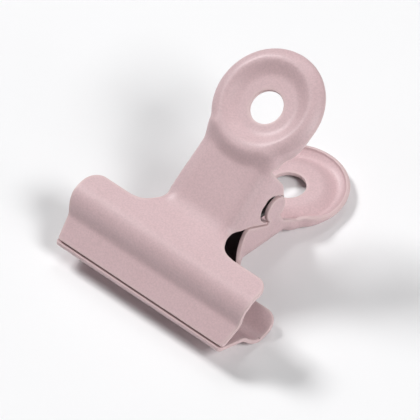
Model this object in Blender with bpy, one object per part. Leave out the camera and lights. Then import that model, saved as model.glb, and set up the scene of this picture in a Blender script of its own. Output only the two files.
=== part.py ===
"""A small spring clip with round, dished handles, resting on a table with its jaws closed.

Two stamped steel plates meet at a pair of lips. Each plate runs from its lip over an arched jaw and a
narrow neck to a round handle with a raised ring and a hole. The necks' sides are folded into ears. A
round claw on each lower ear sits in a socket of the upper ear, and these two knuckles are the hinge.
A torsion spring between the ears pushes the handles apart and so closes the lips.
"""

import math

import bmesh
import bpy
import numpy as np
from mathutils import Matrix, Vector
from mathutils.geometry import delaunay_2d_cdt

MM = 0.001

# Sheet and running gaps
SHEET = 0.6 * MM
CLEARANCE = 0.3 * MM

# Jaw, seen from the side: Y runs back from the lips and Z up from the plane where the lips meet
JAW_WIDTH = 31.0 * MM
LIP_GAP = 0.2 * MM
LIP_TAPER = 1.0 * MM
LIP_LENGTH = 2.5 * MM
LIP_ANGLE = math.radians(24.0)
WALL_RUN = 2.25 * MM
WALL_ANGLE = math.radians(56.0)
ARCH_ANGLE = math.radians(12.0)
JAW_DEPTH = 9.6 * MM
JAW_CORNER_RADIUS = 2.6 * MM
LIP_CORNER_RADIUS = 0.5 * MM
CREASE_RADIUS = 1.6 * MM
ARCH_RADIUS = 2.0 * MM

# Neck and ears
NECK_START = 12.2 * MM
NECK_RADIUS = 5.0 * MM
NECK_WIDTH = 12.7 * MM
SHOULDER_RADIUS = 2.6 * MM
REAR_EDGE_ROLL = 0.6 * MM
JAW_FILLET_RADIUS = 1.5 * MM
HANDLE_FILLET_RADIUS = 4.0 * MM
FOLD_FADE_START = 2.6 * MM
FOLD_FADE_LENGTH = 4.6 * MM

# Round handle
HANDLE_ANGLE = math.radians(15.3)
HANDLE_CENTRE_Y = 28.3 * MM
HANDLE_CENTRE_Z = 9.83 * MM
HANDLE_RADIUS = 7.95 * MM
RING_RADIUS = 6.2 * MM
RING_CREST = 0.9 * MM
RING_FOOT_RADIUS = 9.6 * MM
RING_HEIGHT = 0.8 * MM
RING_DROP = 1.3 * MM
DISH_RADIUS = 4.1 * MM
HOLE_RADIUS = 2.35 * MM
HOLE_SHIFT = 0.4 * MM

# Hinge knuckles
PIVOT_Y = 20.3 * MM
CLAW_RADIUS = 2.0 * MM
CLAW_NECK_WIDTH = 2.3 * MM
CLAW_ROOT = 4.0 * MM
SOCKET_SLACK = 0.9 * MM
SOCKET_LEAN = math.radians(100.0)
HOOK_WIDTH = 0.4 * MM
HOOK_ANGLE = math.radians(192.0)
NOSE_ANGLE = math.radians(-4.0)
NOSE_REACH = 2.7 * MM
EAR_FRONT = 5.65 * MM
EAR_FRONT_ANGLE = math.radians(143.0)
EAR_CORNER_RADIUS = 0.6 * MM
EDGE_TURN = math.radians(50.0)
WINDOW_END = 14.0 * MM
LUG_ROOT_Y = 11.6 * MM
LUG_ROOT_Z = 0.7 * MM
RIM_WEB = 0.9 * MM

# Fineness of the formed faces
ROWS = 1.1 * MM
COLUMNS = 2.6 * MM
RING_STEPS = 16
FILLET_STEPS = 8
FOLD_STEPS = 4
EDGE_ROOM = 0.25 * MM
SHARP_EDGE = math.radians(50.0)

# Spring
WIRE = 0.8 * MM
COIL_RADIUS = 2.2 * MM
COIL_LENGTH = 8.8 * MM
COIL_TURNS = 6
POINTS_PER_TURN = 10
LEG_REACH = 6.4 * MM
LEG_TOE = 1.4 * MM

PINK_PAINT = (0.62, 0.45, 0.46, 1.0)
SPRING_STEEL = (0.55, 0.55, 0.56, 1.0)


def turned(point, angle):
    """The side-view point (y, z) in axes turned by the angle, or back with a negative one."""
    y, z = point
    return (
        y * math.cos(angle) + z * math.sin(angle),
        -y * math.sin(angle) + z * math.cos(angle),
    )


def rounded(corners, steps=6):
    """The points of an open line through (x, y, radius) corners, each rounded to its radius."""
    points = [np.array(corners[0][:2])]
    for before, corner, after in zip(corners, corners[1:], corners[2:]):
        centre = np.array(corner[:2])
        back = np.array(before[:2]) - centre
        ahead = np.array(after[:2]) - centre
        room = 0.49 * min(np.linalg.norm(back), np.linalg.norm(ahead))
        back = back / np.linalg.norm(back)
        ahead = ahead / np.linalg.norm(ahead)
        half = 0.5 * math.acos(max(-1.0, min(1.0, float(back @ ahead))))
        if corner[2] <= 0.0 or half > 1.55:
            points.append(centre)
            continue
        length = min(corner[2] / math.tan(half), room)
        radius = length * math.tan(half)
        middle = centre + (back + ahead) / np.linalg.norm(back + ahead) * radius / math.sin(half)
        first = centre + back * length - middle
        last = centre + ahead * length - middle
        sweep = math.atan2(first[0] * last[1] - first[1] * last[0], first @ last)
        for step in range(steps + 1):
            turn = sweep * step / steps
            cos, sin = math.cos(turn), math.sin(turn)
            spoke = (first[0] * cos - first[1] * sin, first[0] * sin + first[1] * cos)
            points.append(middle + np.array(spoke))
    points.append(np.array(corners[-1][:2]))
    return np.array(points)


def smooth(value):
    value = np.clip(value, 0.0, 1.0)
    return value * value * (3.0 - 2.0 * value)


# The handle's own axes: its dished floor is level there, and the folds of ears and rim run straight down.
CENTRE_Y, FLOOR_Z = turned((HANDLE_CENTRE_Y, HANDLE_CENTRE_Z), HANDLE_ANGLE)
HOLE_Y = CENTRE_Y - HOLE_SHIFT
HINGE_Y, HINGE_Z = turned((PIVOT_Y, 0.0), HANDLE_ANGLE)
SPINE_HALF_WIDTH = 0.5 * NECK_WIDTH - SHOULDER_RADIUS
RIM_ROLL = HANDLE_RADIUS - RING_RADIUS
LIP_Z = SHEET + 0.5 * LIP_GAP
CREASE_Z = LIP_Z + LIP_LENGTH * math.tan(LIP_ANGLE)


def side_profile():
    """The outer face on the centre line, as a side view in the handle's axes."""
    arch_y = LIP_LENGTH + WALL_RUN
    arch_z = CREASE_Z + WALL_RUN * math.tan(WALL_ANGLE)
    neck_z = arch_z - (NECK_START - arch_y) * math.tan(ARCH_ANGLE)
    foot_z = FLOOR_Z + RING_HEIGHT - RING_DROP
    rim_y, rim_z = turned((CENTRE_Y - HANDLE_RADIUS, foot_z), -HANDLE_ANGLE)
    end_y, end_z = turned((CENTRE_Y + HANDLE_RADIUS, foot_z), -HANDLE_ANGLE)
    line = rounded(
        [
            (0.0, LIP_Z, 0.0),
            (LIP_LENGTH, CREASE_Z, CREASE_RADIUS),
            (arch_y, arch_z, ARCH_RADIUS),
            (NECK_START, neck_z, NECK_RADIUS),
            (rim_y, rim_z, NECK_RADIUS),
            (end_y, end_z, 0.0),
        ]
    )
    edge = (JAW_DEPTH, float(np.interp(JAW_DEPTH, line[:, 0], line[:, 1])))
    return np.array([turned(point, HANDLE_ANGLE) for point in line]), turned(edge, HANDLE_ANGLE)[0]


PROFILE, REAR_EDGE_Y = side_profile()
PROFILE_Y = PROFILE[:, 0]
FRONT_Y = PROFILE_Y[0]
CREASE_Y = turned((LIP_LENGTH, CREASE_Z), HANDLE_ANGLE)[0]


def face_height(x, y):
    """Height of the outer face: the dish, its raised ring, and the ring's flank down to the neck."""
    sheet = np.interp(y, PROFILE_Y, PROFILE[:, 1])
    radius = np.hypot(x, y - CENTRE_Y)
    ring = FLOOR_Z + RING_HEIGHT * smooth((radius - DISH_RADIUS) / (RING_RADIUS - DISH_RADIUS))
    flank = smooth((radius - RING_RADIUS - RING_CREST) / (RING_FOOT_RADIUS - RING_RADIUS - RING_CREST))
    return ring + (sheet - ring) * flank


def spine_edge():
    """The line where the sheet starts to fold down, seen from above, from the jaw's rear edge to the tip.

    It runs inside the plate's outline by the fold's width: along the fillet behind the jaw, the neck, the
    fillet to the handle and round the ring. Each row holds the place (x, y), the outward direction
    (x, y), the fold's width and drop, and how much deeper than the fold the handle's rim hangs.
    """
    half = 0.5 * NECK_WIDTH
    rows = []

    def add(outline_x, outline_y, out, width, drop, web):
        spine = (outline_x - width * out[0], outline_y - width * out[1])
        rows.append((*spine, *out, width, drop, web))

    corner_x = half + JAW_FILLET_RADIUS
    corner_y = REAR_EDGE_Y + REAR_EDGE_ROLL + JAW_FILLET_RADIUS
    for share in np.linspace(0.0, 1.0, FILLET_STEPS + 1):
        out = (math.sin(share * 0.5 * math.pi), math.cos(share * 0.5 * math.pi))
        roll = REAR_EDGE_ROLL + (SHOULDER_RADIUS - REAR_EDGE_ROLL) * share**2
        place_x = corner_x - JAW_FILLET_RADIUS * out[0]
        place_y = corner_y - JAW_FILLET_RADIUS * out[1]
        add(place_x, place_y, out, roll, roll, 0.0)
    reach = HANDLE_RADIUS + HANDLE_FILLET_RADIUS
    fillet_x = half + HANDLE_FILLET_RADIUS
    fillet_y = CENTRE_Y - math.sqrt(reach**2 - fillet_x**2)
    join = math.acos(fillet_x / reach)
    fade_y = fillet_y - FOLD_FADE_START

    def faded(way):
        """Width, drop and web at a way past the place where the neck's fold turns into the rim's."""
        mix = float(smooth(way / FOLD_FADE_LENGTH))
        width = SHOULDER_RADIUS + (RIM_ROLL - SHOULDER_RADIUS) * mix
        return width, SHOULDER_RADIUS + (RING_DROP - SHOULDER_RADIUS) * mix, RIM_WEB * mix

    steps = max(2, round((fillet_y - corner_y) / ROWS))
    for y in np.linspace(corner_y, fillet_y, steps + 1)[1:]:
        add(half, y, (1.0, 0.0), *faded(max(0.0, y - fade_y)))
    for share in np.linspace(0.0, 1.0, FILLET_STEPS - 1)[1:]:
        out = (math.cos(share * join), -math.sin(share * join))
        place_x = fillet_x - HANDLE_FILLET_RADIUS * out[0]
        place_y = fillet_y - HANDLE_FILLET_RADIUS * out[1]
        add(place_x, place_y, out, *faded(FOLD_FADE_START + HANDLE_FILLET_RADIUS * join * share))
    for turn in np.linspace(-join, 0.5 * math.pi, RING_STEPS + 1)[1:]:
        out = (math.cos(turn), math.sin(turn))
        web = RIM_WEB * (1.0 - float(smooth((turn + join) / join)))
        place_x = HANDLE_RADIUS * out[0]
        place_y = CENTRE_Y + HANDLE_RADIUS * out[1]
        add(place_x, place_y, out, RIM_ROLL, RING_DROP, web)
    return np.array(rows)


SPINE = spine_edge()
SPINE_RUN = np.concatenate([[0.0], np.cumsum(np.hypot(*np.diff(SPINE[:, :2], axis=0).T))])
NECK_END = len(SPINE) - 1 - RING_STEPS - (FILLET_STEPS - 2)
NECK = SPINE[: NECK_END + 3]
FOLD_Y = np.maximum.accumulate(NECK[:, 1] + NECK[:, 3] * NECK[:, 4])


def fold_length(width, drop):
    return 0.25 * math.pi * (width + drop)


def folded(run, down):
    """The place on the folded side, from the way along the spine edge and the way down from it."""
    x, y, out_x, out_y, width, drop, _ = (np.interp(run, SPINE_RUN, column) for column in SPINE.T)
    length = fold_length(width, drop)
    turn = np.minimum(down / length, 1.0) * 0.5 * math.pi
    reach = width * np.sin(turn) / np.hypot(out_x, out_y)
    fall = drop * (1.0 - np.cos(turn)) + np.maximum(down - length, 0.0)
    return np.stack([x + out_x * reach, y + out_y * reach, face_height(x, y) - fall], -1)


def unfolded(place):
    """The way along and down the spine edge of a place (y, z) on the side of the neck."""
    y, z = place
    run = float(np.interp(y, FOLD_Y, SPINE_RUN[: len(FOLD_Y)]))
    spine_x, spine_y, _, _, width, drop, _ = (np.interp(run, SPINE_RUN, column) for column in SPINE.T)
    fall = float(face_height(spine_x, spine_y)) - z
    turn = math.acos(min(1.0, max(0.0, 1.0 - fall / drop)))
    return run, turn / (0.5 * math.pi) * fold_length(width, drop) + max(fall - drop, 0.0)


def about_hinge(radius, angle):
    """The place (y, z) at a distance and an angle from the hinge, in the handle's axes."""
    return HINGE_Y + radius * math.cos(angle), HINGE_Z + radius * math.sin(angle)


def other_plate(angle):
    """The same direction from the hinge, in the other plate's axes."""
    return 2.0 * math.pi - angle - 2.0 * HANDLE_ANGLE


SOCKET_RADIUS = CLAW_RADIUS + CLEARANCE
HOOK_RADIUS = SOCKET_RADIUS + HOOK_WIDTH
REAR_Y = HINGE_Y + NOSE_REACH
REAR_RUN = float(np.interp(REAR_Y, FOLD_Y, SPINE_RUN[: len(FOLD_Y)]))


def socket_ear():
    """The upper ear's edge, front to rear: down to the hook, round the socket and along the nose.

    The socket has the running gap at the hook and at the nose, and is deeper at its top.
    """
    corners = [(*about_hinge(EAR_FRONT, EAR_FRONT_ANGLE), EAR_CORNER_RADIUS)]
    corners += [(*about_hinge(HOOK_RADIUS, HOOK_ANGLE), 0.25 * HOOK_WIDTH)]
    for angle in np.linspace(HOOK_ANGLE, NOSE_ANGLE, 15):
        radius = SOCKET_RADIUS + SOCKET_SLACK * max(0.0, math.cos(angle - SOCKET_LEAN)) ** 2
        corners += [(*about_hinge(radius, angle), 0.0)]
    corners += [(REAR_Y, HINGE_Z + SOCKET_RADIUS * math.sin(NOSE_ANGLE), EAR_CORNER_RADIUS)]
    return corners


def claw_ear():
    """The lower ear's edge, front to rear: up to the lug, down past the hook and round the claw."""
    lug = np.array(about_hinge(EAR_FRONT, other_plate(EAR_FRONT_ANGLE)))
    hook = np.array(about_hinge(HOOK_RADIUS, other_plate(HOOK_ANGLE)))
    along = (hook - lug) / np.linalg.norm(hook - lug)
    clear = CLEARANCE * np.array([-along[1], along[0]])
    pocket = other_plate(HOOK_ANGLE) - CLEARANCE / CLAW_RADIUS
    neck_rear = pocket - CLAW_NECK_WIDTH / CLAW_RADIUS
    corners = [(*(lug + clear), EAR_CORNER_RADIUS), (*(hook + clear + CLEARANCE * along), 0.0)]
    for angle in np.linspace(pocket, neck_rear + 2.0 * math.pi, 19):
        corners += [(*about_hinge(CLAW_RADIUS, angle), 0.0)]
    corners += [(*about_hinge(CLAW_ROOT, neck_rear), EAR_CORNER_RADIUS)]
    return corners


def plate_edge(ear, lug):
    """The folded side's outer edge, as ways along and down the spine edge, from front to tip."""
    shares = np.linspace(0.0, 1.0, FILLET_STEPS + 1)
    turns = EDGE_TURN * np.sin(0.5 * math.pi * shares) * SPINE[: FILLET_STEPS + 1, 4]
    front = [(run, down, 0.0) for run, down in zip(SPINE_RUN, turns)]
    if lug:
        root = turned((LUG_ROOT_Y, LUG_ROOT_Z), HANDLE_ANGLE)
        front = front[: FILLET_STEPS // 2] + [(*unfolded(root), EAR_CORNER_RADIUS)]
    else:
        window_end = turned((WINDOW_END, 0.0), HANDLE_ANGLE)[0]
        front += [(float(np.interp(window_end, SPINE[:, 1], SPINE_RUN)), front[-1][1], EAR_CORNER_RADIUS)]
    sides = [(*unfolded(corner[:2]), corner[2]) for corner in ear]
    start = EDGE_TURN * SHOULDER_RADIUS
    missing = fold_length(SHOULDER_RADIUS, SHOULDER_RADIUS) - start
    join_run = SPINE_RUN[len(SPINE) - 1 - RING_STEPS]
    rim = [] if lug else [(REAR_RUN, start, EAR_CORNER_RADIUS)]
    for run, row in zip(SPINE_RUN, SPINE):
        length = fold_length(row[4], row[5])
        if lug and run > REAR_RUN + 1.5 * ROWS:
            rim.append((run, length + row[6], 0.0))
        elif not lug and run > REAR_RUN + 0.5 * ROWS:
            fade = 1.0 - float(smooth((run - REAR_RUN) / (join_run - REAR_RUN)))
            rim.append((run, length + row[6] - missing * fade, 0.0))
    return rounded(front + sides + rim, 3)


def inside(points, outline):
    """Which points lie inside a closed outline."""
    x, y = points[:, :1], points[:, 1:]
    ax, ay = outline.T
    bx, by = np.roll(outline, -1, axis=0).T
    spans = (ay > y) != (by > y)
    slope = (bx - ax) / np.where(by == ay, 1.0, by - ay)
    return (spans & (x < ax + (y - ay) * slope)).sum(1) % 2 == 1


def clear_of(points, outline, room):
    """Which points lie at least some room away from a closed outline."""
    start = outline[None]
    along = np.roll(outline, -1, axis=0)[None] - start
    offset = points[:, None] - start
    share = np.clip((offset * along).sum(2) / np.maximum((along**2).sum(2), 1e-18), 0.0, 1.0)
    return np.linalg.norm(offset - along * share[..., None], axis=2).min(1) > room


def meshed(outline, filling):
    """Points and triangles that fill a closed outline, with the filling points that fit inside it."""
    filling = np.array(filling)
    filling = filling[inside(filling, outline) & clear_of(filling, outline, EDGE_ROOM)]
    points = np.concatenate([outline, filling])
    count = len(outline)
    edges = [(index, (index + 1) % count) for index in range(count)]
    scaled = [Vector(point / MM) for point in points]
    result = delaunay_2d_cdt(scaled, edges, [], 0, 1e-6)
    points = np.array([tuple(point) for point in result[0]]) * MM
    triangles = np.array([tuple(face) for face in result[2]])
    corners = points[triangles]
    centres = corners.mean(1)
    first = corners[:, 1] - corners[:, 0]
    second = corners[:, 2] - corners[:, 0]
    area = first[:, 0] * second[:, 1] - first[:, 1] * second[:, 0]
    triangles[area < 0.0] = triangles[area < 0.0][:, ::-1]
    return points, triangles[inside(centres, outline) & (np.abs(area) > 1e-12)]


def ring_circles():
    """Radii of the circles of points on the handle, from the dish's floor out to the rim."""
    floor = 0.5 * (HOLE_RADIUS + HOLE_SHIFT + DISH_RADIUS)
    slope = np.linspace(DISH_RADIUS, RING_RADIUS, 5)
    outer = np.linspace(RING_RADIUS, RING_FOOT_RADIUS, 7)[1:]
    return np.concatenate([[floor], slope, outer])


def sheet_rows():
    """Places across the jaw and the neck: close together on the bends, wider on the flats."""
    last = CENTRE_Y - ring_circles()[-1]
    rows = [FRONT_Y]
    for y in [*PROFILE_Y[(PROFILE_Y > FRONT_Y) & (PROFILE_Y < last)], last]:
        gap = y - rows[-1]
        if gap < 0.3 * ROWS:
            continue
        parts = max(1, round(gap / (1.5 * ROWS)))
        rows += [rows[-1] + gap * part / parts for part in range(1, parts + 1)]
    return np.array(rows[1:-1])


def cut_at(start, end, rows):
    """A stretch of outline without its start, cut where it crosses the rows."""
    low, high = sorted((start[1], end[1]))
    margin = 0.2 * ROWS
    cuts = rows[(rows > low + margin) & (rows < high - margin)]
    shares = sorted((cuts - start[1]) / (end[1] - start[1])) if len(cuts) else []
    return [start + (end - start) * share for share in shares] + [end]


def top_outline():
    """Half of the plate seen from above, without the folded side: lip, jaw, neck and handle to the ring."""
    half = 0.5 * JAW_WIDTH
    jaw = rounded(
        [
            (0.0, FRONT_Y, 0.0),
            (half - LIP_TAPER, FRONT_Y, LIP_CORNER_RADIUS),
            (half, CREASE_Y + WALL_RUN, JAW_CORNER_RADIUS),
            (half, REAR_EDGE_Y, JAW_CORNER_RADIUS),
            (SPINE[0, 0], SPINE[0, 1], 0.0),
        ],
        5,
    )
    jaw = np.concatenate([jaw[:1], *(cut_at(start, end, sheet_rows()) for start, end in zip(jaw, jaw[1:]))])
    circles = ring_circles()
    inner = circles[circles < 0.99 * RING_RADIUS]
    turns = np.linspace(0.5 * math.pi, -0.5 * math.pi, RING_STEPS + 1)
    hole = np.stack([HOLE_RADIUS * np.cos(turns), HOLE_Y + HOLE_RADIUS * np.sin(turns)], 1)
    tip = [(0.0, SPINE[-1, 1])]
    behind = [(0.0, CENTRE_Y + radius) for radius in inner[::-1]]
    before = [(0.0, CENTRE_Y - radius) for radius in circles]
    middle = [(0.0, y) for y in sheet_rows()[::-1]]
    return np.concatenate([jaw, SPINE[1:-1, :2], tip, behind, hole, before, middle])


def top_filling():
    """Points on the jaw's and neck's rows and on the handle's circles."""
    points = []
    half = 0.5 * JAW_WIDTH
    for y in sheet_rows():
        across = half if y < REAR_EDGE_Y + ROWS else SPINE_HALF_WIDTH
        step = COLUMNS if y < REAR_EDGE_Y - ROWS else ROWS
        columns = max(2, round(across / step))
        points += [(across * column / columns, y) for column in range(1, columns)]
        if y < REAR_EDGE_Y:
            points += [(half - LIP_TAPER * max(0.0, 1.0 - (y - FRONT_Y) / (CREASE_Y + WALL_RUN)), y)]
    for radius in ring_circles():
        steps = RING_STEPS if radius > DISH_RADIUS - CLEARANCE else RING_STEPS // 2
        for turn in np.linspace(-0.5 * math.pi, 0.5 * math.pi, steps + 1)[1:-1]:
            points.append((radius * math.cos(turn), CENTRE_Y + radius * math.sin(turn)))
    return points


def side_filling():
    """Points on the fold and the ear, in ways along and down the spine edge."""
    points = []
    for index, row in enumerate(SPINE[1:-1], 1):
        length = fold_length(row[4], row[5])
        points += [(SPINE_RUN[index], length * step / FOLD_STEPS) for step in range(1, FOLD_STEPS + 1)]
        points += [(SPINE_RUN[index], length + ROWS * step) for step in range(1, 8)]
    return points


def plate_mesh(name, ear, lug):
    """One formed plate as a closed solid, in the handle's axes."""
    top, top_faces = meshed(top_outline(), top_filling())
    spine = np.stack([SPINE_RUN, np.zeros(len(SPINE_RUN))], 1)
    edge = plate_edge(ear, lug)[::-1]
    tip = [(SPINE_RUN[-1], edge[0][1] * step / FOLD_STEPS) for step in range(1, FOLD_STEPS)]
    side_outline = np.concatenate([spine, tip, edge[:-1]])
    side, side_faces = meshed(side_outline, side_filling())
    places = np.concatenate(
        [np.column_stack([top, face_height(top[:, 0], top[:, 1])]), folded(side[:, 0], side[:, 1])]
    )
    faces = np.concatenate([top_faces, side_faces[:, ::-1] + len(top)])
    places = np.concatenate([places, places * (-1.0, 1.0, 1.0)])
    faces = np.concatenate([faces, faces[:, ::-1] + len(places) // 2])
    mesh = bmesh.new()
    vertices = [mesh.verts.new(place) for place in places]
    for face in faces:
        mesh.faces.new([vertices[corner] for corner in face])
    bmesh.ops.remove_doubles(mesh, verts=mesh.verts, dist=0.002 * MM)
    mesh.normal_update()
    outer = list(mesh.verts)
    rim = [edge for edge in mesh.edges if edge.is_boundary]
    inner = {vertex: mesh.verts.new(vertex.co - vertex.normal * SHEET) for vertex in outer}
    for face in list(mesh.faces):
        mesh.faces.new([inner[vertex] for vertex in reversed(face.verts)])
    for edge in rim:
        loop = edge.link_loops[0]
        start, end = loop.vert, loop.link_loop_next.vert
        mesh.faces.new([end, start, inner[start], inner[end]])
    data = bpy.data.meshes.new(name)
    mesh.to_mesh(data)
    mesh.free()
    return data


def plate(name, data, flip, colour):
    """A plate's object, with its mesh turned from the handle's axes to the clip's, about the hinge."""
    data.transform(Matrix.Translation((0.0, -HINGE_Y, -HINGE_Z)))
    data.transform(Matrix.Rotation(HANDLE_ANGLE, 4, "X"))
    if flip:
        data.transform(Matrix.Diagonal((1.0, 1.0, -1.0, 1.0)))
        data.flip_normals()
    data.shade_smooth()
    data.set_sharp_from_angle(angle=SHARP_EDGE)
    data.materials.append(paint(f"{name} paint", colour, 0.55, 0.0))
    return placed(name, data)


def spring_line():
    """The wire's centre line about the hinge: lower leg, coil and upper leg, in the clip's axes."""
    toe = (HINGE_Y + LEG_REACH, FLOOR_Z - SHEET - CLEARANCE - 0.5 * WIRE)
    toe_end = (toe[0] + LEG_TOE, toe[1])
    bend = [turned((y - HINGE_Y, z - HINGE_Z), -HANDLE_ANGLE) for y, z in (toe, toe_end)]
    reach = math.hypot(*bend[0])
    leaving = math.atan2(bend[0][1], bend[0][0]) + math.acos(COIL_RADIUS / reach)
    side = 0.5 * COIL_LENGTH
    sweep = 2.0 * (math.pi - leaving) + 2.0 * math.pi * COIL_TURNS
    steps = round(sweep / (2.0 * math.pi) * POINTS_PER_TURN)
    coil = []
    for step in range(steps + 1):
        share = step / steps
        angle = -leaving - sweep * share
        x = side * (2.0 * share - 1.0)
        coil.append((x, COIL_RADIUS * math.cos(angle), COIL_RADIUS * math.sin(angle)))
    lower = [(-side, y, -z) for y, z in reversed(bend)]
    upper = [(side, y, z) for y, z in bend]
    return np.array(lower + coil + upper)


def least_gap(line):
    """The least gap between stretches of the wire that aren't next to each other."""
    dense = np.concatenate([np.linspace(start, end, 5)[:-1] for start, end in zip(line, line[1:])])
    run = np.concatenate([[0.0], np.cumsum(np.linalg.norm(np.diff(dense, axis=0), axis=1))])
    apart = np.linalg.norm(dense[:, None] - dense[None], axis=2)
    apart[np.abs(run[:, None] - run[None]) < math.pi * COIL_RADIUS] = np.inf
    return float(apart.min()) - WIRE


def spring(name):
    """The torsion spring: one wire, swept along its centre line."""
    line = spring_line()
    print(f"{name}: least gap to itself {least_gap(line) / MM:.2f} mm")
    curve = bpy.data.curves.new(name, "CURVE")
    curve.dimensions = "3D"
    curve.bevel_depth = 0.5 * WIRE
    curve.bevel_resolution = 1
    curve.use_fill_caps = True
    wire = curve.splines.new("POLY")
    wire.points.add(len(line) - 1)
    for point, place in zip(wire.points, line):
        point.co = (*place, 1.0)
    curve.materials.append(paint("Spring steel", SPRING_STEEL, 0.35, 1.0))
    return placed(name, curve)


def paint(name, colour, roughness, metallic):
    material = bpy.data.materials.new(name)
    material.use_nodes = True
    shader = material.node_tree.nodes["Principled BSDF"]
    shader.inputs["Base Color"].default_value = colour
    shader.inputs["Roughness"].default_value = roughness
    shader.inputs["Metallic"].default_value = metallic
    return material


def placed(name, data):
    body = bpy.data.objects.new(name, data)
    bpy.context.collection.objects.link(body)
    return body


def rest_angle(mesh):
    """The turn about X that sets the lower plate down on its jaw's arch and its handle's ring."""
    places = np.array([vertex.co[1:] for vertex in mesh.vertices])
    jaw = places[places[:, 0] < 0.0]
    handle = places[places[:, 0] > 0.0]
    angle = 0.0
    for _ in range(20):
        down = np.array([math.sin(angle), math.cos(angle)])
        first = jaw[(jaw @ down).argmin()]
        second = handle[(handle @ down).argmin()]
        angle = math.atan2(first[1] - second[1], second[0] - first[0])
    return angle


def build():
    for old in list(bpy.data.objects):
        bpy.data.objects.remove(old, do_unlink=True)
    upper = plate("upper_plate", plate_mesh("upper_plate", socket_ear(), False), False, PINK_PAINT)
    lower = plate("lower_plate", plate_mesh("lower_plate", claw_ear(), True), True, PINK_PAINT)
    pieces = [upper, lower, spring("torsion_spring")]
    turn = Matrix.Rotation(rest_angle(lower.data), 4, "X")
    corners = np.array([turn @ vertex.co for body in (upper, lower) for vertex in body.data.vertices])
    low, high = corners.min(0), corners.max(0)
    hinge = -Vector((0.5 * (low[0] + high[0]), 0.5 * (low[1] + high[1]), low[2]))
    for piece in pieces:
        piece.matrix_world = Matrix.Translation(hinge) @ turn
    print("hinge axis at", [round(value / MM, 3) for value in hinge], "mm, part size",
          [round(float(value) / MM, 2) for value in high - low], "mm")


build()
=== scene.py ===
"""A pink sprung paper clip with round, dished handles, lying on white paper in soft studio light."""

import math

import bmesh
import bpy
import numpy as np
from mathutils import Matrix, Vector
from mathutils.geometry import delaunay_2d_cdt
from mathutils.kdtree import KDTree


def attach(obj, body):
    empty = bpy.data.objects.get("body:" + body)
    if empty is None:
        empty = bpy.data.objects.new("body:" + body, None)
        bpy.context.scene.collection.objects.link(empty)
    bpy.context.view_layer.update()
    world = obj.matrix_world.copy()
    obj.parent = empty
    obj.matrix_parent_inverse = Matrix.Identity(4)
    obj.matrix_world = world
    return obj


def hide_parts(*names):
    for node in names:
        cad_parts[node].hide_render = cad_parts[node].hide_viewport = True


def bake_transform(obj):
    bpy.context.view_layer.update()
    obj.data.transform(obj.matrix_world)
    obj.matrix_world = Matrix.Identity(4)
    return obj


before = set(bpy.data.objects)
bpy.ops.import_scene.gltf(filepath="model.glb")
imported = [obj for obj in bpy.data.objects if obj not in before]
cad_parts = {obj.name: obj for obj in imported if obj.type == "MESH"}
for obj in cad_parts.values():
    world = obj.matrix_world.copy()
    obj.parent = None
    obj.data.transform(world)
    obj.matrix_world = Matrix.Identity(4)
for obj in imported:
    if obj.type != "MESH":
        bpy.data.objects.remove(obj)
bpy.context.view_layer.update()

MM = 0.001

# ## White paper, studio lights and camera
# The clip lies on a sheet of smooth white paper. Two strong soft boxes stand to its left and right, and
# three weak ones and a white room fill in the shadows. The camera looks down on it from the right.


def linear(colour):
    """The linear RGBA values of an sRGB colour that is written as hex digits."""
    parts = [int(colour[start : start + 2], 16) / 255.0 for start in (0, 2, 4)]
    return (*(part / 12.92 if part <= 0.04045 else ((part + 0.055) / 1.055) ** 2.4 for part in parts), 1.0)


def add_node(tree, kind, settings=None, inputs=None):
    """A new node with its settings, and its inputs set to values or linked to other nodes' outputs."""
    node = tree.nodes.new(kind)
    for name, value in (settings or {}).items():
        setattr(node, name, value)
    for name, value in (inputs or {}).items():
        if isinstance(value, bpy.types.NodeSocket):
            tree.links.new(value, node.inputs[name])
        else:
            node.inputs[name].default_value = value
    return node


def new_material(name):
    """An empty material, its node tree and its output node."""
    material = bpy.data.materials.new(name)
    material.use_nodes = True
    material.node_tree.nodes.clear()
    return material, material.node_tree, material.node_tree.nodes.new("ShaderNodeOutputMaterial")


def new_object(name, data):
    """An object in the scene that shows the data."""
    piece = bpy.data.objects.new(name, data)
    bpy.context.scene.collection.objects.link(piece)
    return piece


PAPER_HALF = 1.5
PAPER_CORNERS = ((-1, -1), (1, -1), (1, 1), (-1, 1))

paper_mesh = bpy.data.meshes.new("white_paper")
paper_mesh.from_pydata([(x * PAPER_HALF, y * PAPER_HALF, 0.0) for x, y in PAPER_CORNERS], [], [(0, 1, 2, 3)])
paper = new_object("white_paper", paper_mesh)

# Smooth uncoated paper: matt, with soft clumps of fibres about 0.8 mm apart.
PAPER_WHITE = "F4F4F5"
FIBRE_CLUMPS_PER_METRE = 1200.0
FIBRE_RELIEF = 0.05 * MM

paper_material, tree, output = new_material("smooth white paper")
place = add_node(tree, "ShaderNodeTexCoord").outputs["Object"]
fibres = add_node(tree, "ShaderNodeTexNoise", {}, {
    "Vector": place, "Scale": FIBRE_CLUMPS_PER_METRE, "Detail": 3.0})
dent = add_node(tree, "ShaderNodeBump", {}, {
    "Height": fibres.outputs[0], "Strength": 0.05, "Distance": FIBRE_RELIEF})
shader = add_node(tree, "ShaderNodeBsdfPrincipled", {}, {
    "Base Color": linear(PAPER_WHITE), "Roughness": 0.9, "Specular IOR Level": 0.1,
    "Normal": dent.outputs[0]})
tree.links.new(shader.outputs[0], output.inputs["Surface"])
paper_mesh.materials.append(paper_material)


def soft_box(name, azimuth, elevation, width, height, power):
    """A soft light one metre from the clip, aimed at it: its angles in degrees, sides in metres, watts."""
    data = bpy.data.lights.new(name, "AREA")
    data.shape = "RECTANGLE"
    data.size = width
    data.size_y = height
    data.energy = power
    lamp = new_object(name, data)
    azimuth, elevation = math.radians(azimuth), math.radians(elevation)
    across = math.cos(elevation)
    away = Vector((math.cos(azimuth) * across, math.sin(azimuth) * across, math.sin(elevation)))
    lamp.matrix_world = Matrix.Translation(away) @ away.to_track_quat("Z", "Y").to_matrix().to_4x4()


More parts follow.
